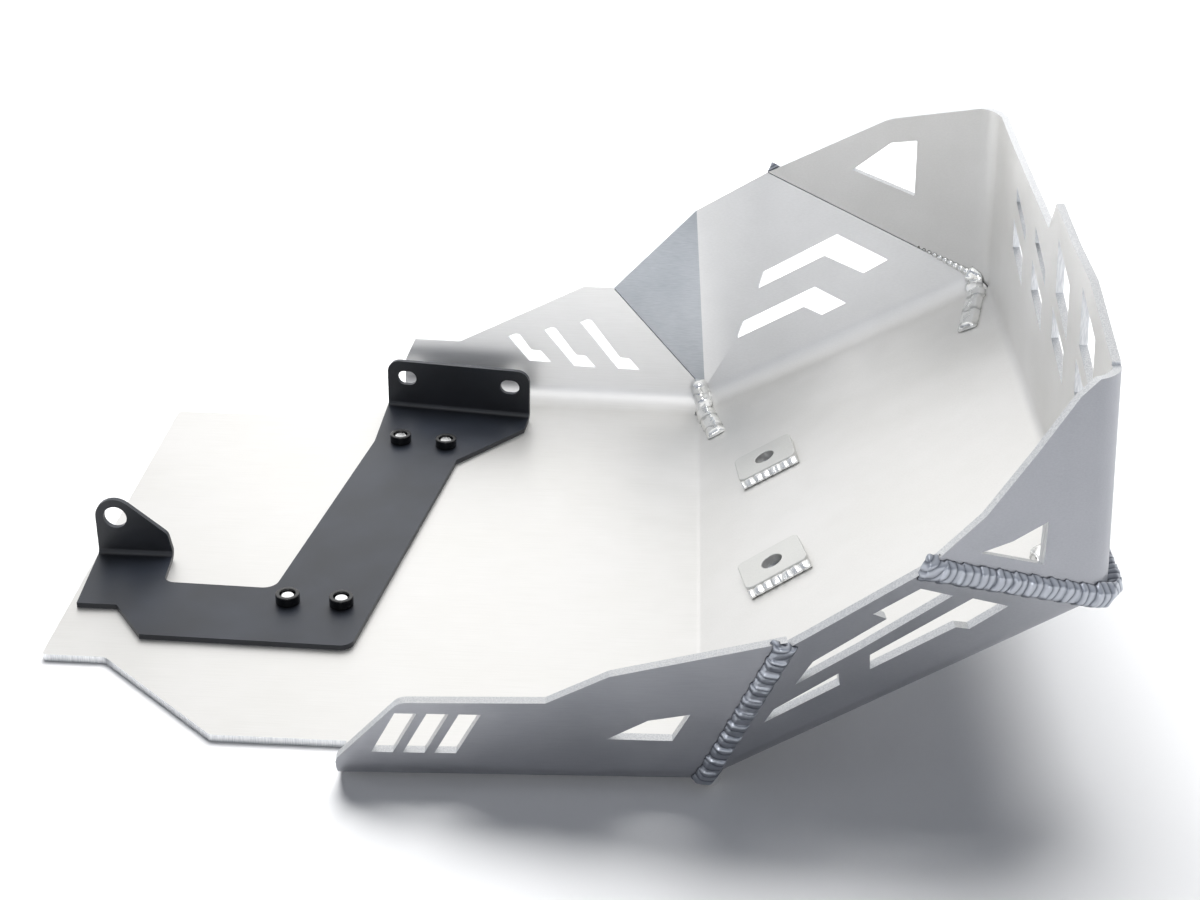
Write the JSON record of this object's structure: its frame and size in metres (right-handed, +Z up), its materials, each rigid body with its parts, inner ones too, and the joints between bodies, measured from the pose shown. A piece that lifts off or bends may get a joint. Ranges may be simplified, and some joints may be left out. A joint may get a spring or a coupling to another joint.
{
  "type": "skid plate",
  "caption": "Folded and welded aluminium belly pan for a motorcycle engine, with flared slotted side walls and a black rear bracket.",
  "frame": {"origin": "on the underside of the floor panel, midway along the floor's length and on the centre line between its two fold corners", "axes": "+X towards the front of the machine, where the panel climbs; +Y to the far side of the picture, the left of the machine; +Z up, square to the floor panel"},
  "size_m": [0.5233, 0.4739, 0.2302],
  "materials": {
    "sheet_aluminium": "mill finish with a fine brushed grain, bare",
    "pad_aluminium": "machined plate, bare",
    "weld_bead": "rippled bead as laid, slightly sooty in its creases",
    "corner_weld": "smooth bright bead",
    "bracket_black": "satin black powder coat on steel",
    "collar_black": "glossy black on steel",
    "screw_steel": "bright zinc plated steel"
  },
  "bodies": {
    "root": {"skid_plate": "sheet_aluminium", "weld_near_rear": "weld_bead", "weld_near_front": "weld_bead", "weld_far_rear": "weld_bead", "weld_far_front": "weld_bead", "corner_weld_near_rear": "corner_weld", "corner_weld_near_front": "corner_weld", "corner_weld_far_rear": "corner_weld", "corner_weld_far_front": "corner_weld", "pad_near": "pad_aluminium", "pad_far": "pad_aluminium", "pad_weld_near": "weld_bead", "pad_weld_far": "weld_bead", "rear_bracket": "bracket_black", "collar_near_rear": "collar_black", "collar_near_front": "collar_black", "collar_far_rear": "collar_black", "collar_far_front": "collar_black", "screw_near_rear": "screw_steel", "screw_near_front": "screw_steel", "screw_far_rear": "screw_steel", "screw_far_front": "screw_steel"}
  },
  "joints": []
}
